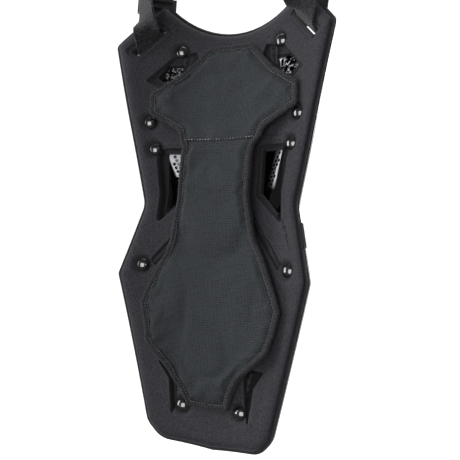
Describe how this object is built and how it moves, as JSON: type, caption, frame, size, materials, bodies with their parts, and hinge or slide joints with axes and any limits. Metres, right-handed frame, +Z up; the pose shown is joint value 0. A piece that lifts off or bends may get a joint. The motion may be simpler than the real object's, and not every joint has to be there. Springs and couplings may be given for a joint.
{
  "type": "back protector",
  "caption": "Riding back protector: hard outer shell with foam liner riveted inside, removable spine pad and threaded shoulder straps.",
  "frame": {"origin": "middle of the pad's face, on the plane of symmetry, where the pad meets the wearer's back", "axes": "+X towards the right as seen from the wearer's side, +Y away from the wearer, +Z up towards the neck"},
  "size_m": [0.2666, 0.0766, 0.6442],
  "materials": {
    "shell": "gloss black moulded plastic",
    "vent": "gloss black perforated plastic",
    "foam": "thermoformed foam laminated with charcoal jersey",
    "rivet": "polished black plastic",
    "hook": "black hook tape",
    "loop": "black brushed loop tape",
    "canvas": "dark green-grey ribbed canvas",
    "core": "grey closed-cell foam",
    "backing": "black lining cloth",
    "tape": "black binding tape",
    "webbing": "black brushed webbing",
    "buckle": "black acetal",
    "ring": "black coated steel"
  },
  "bodies": {
    "panel": {"outer_shell": "shell", "foam_liner": "foam", "vent_upper_left": "vent", "vent_upper_right": "vent", "vent_mid_left": "vent", "vent_mid_right": "vent", "rivet_caps": "rivet", "rivet_posts": "rivet", "hook_strip_upper": "hook", "hook_strip_middle": "hook", "hook_strip_lower": "hook", "strap_loop_left": "webbing", "strap_loop_right": "webbing", "hook_tab_left": "hook", "hook_tab_right": "hook", "waist_loop": "webbing"},
    "pad": {"pad_cover": "canvas", "pad_core_upper": "core", "pad_core_lower": "core", "pad_backing": "backing", "pad_binding": "tape", "loop_patch_upper": "loop", "loop_patch_middle": "loop", "loop_patch_lower": "loop"},
    "strap_left": {"strap_end_left": "webbing"},
    "ring_left": {"strap_ring_left": "ring"},
    "slider_left": {"strap_slider_left": "buckle"},
    "strap_right": {"strap_end_right": "webbing"},
    "ring_right": {"strap_ring_right": "ring"},
    "slider_right": {"strap_slider_right": "buckle"}
  },
  "joints": [
    {"name": "pad_lift", "type": "slide", "parent": "panel", "child": "pad", "axis": [0, -1, 0], "range_m": [0, 0.06]},
    {"name": "strap_left_swing", "type": "hinge", "parent": "panel", "child": "strap_left", "pos_m": [-0.097, -0.0248, 0.35], "axis": [1, 0, 0], "range_deg": [-60, 95]},
    {"name": "ring_left_swing", "type": "hinge", "parent": "strap_left", "child": "ring_left", "pos_m": [-0.097, -0.0248, 0.375], "axis": [1, 0, 0], "range_deg": [-120, 120]},
    {"name": "slider_left_slide", "type": "slide", "parent": "panel", "child": "slider_left", "axis": [0, 0, 1], "range_m": [-0.009, 0.006]},
    {"name": "strap_right_swing", "type": "hinge", "parent": "panel", "child": "strap_right", "pos_m": [0.097, -0.0248, 0.35], "axis": [1, 0, 0], "range_deg": [-60, 95]},
    {"name": "ring_right_swing", "type": "hinge", "parent": "strap_right", "child": "ring_right", "pos_m": [0.097, -0.0248, 0.375], "axis": [1, 0, 0], "range_deg": [-120, 120]},
    {"name": "slider_right_slide", "type": "slide", "parent": "panel", "child": "slider_right", "axis": [0, 0, 1], "range_m": [-0.009, 0.006]}
  ]
}
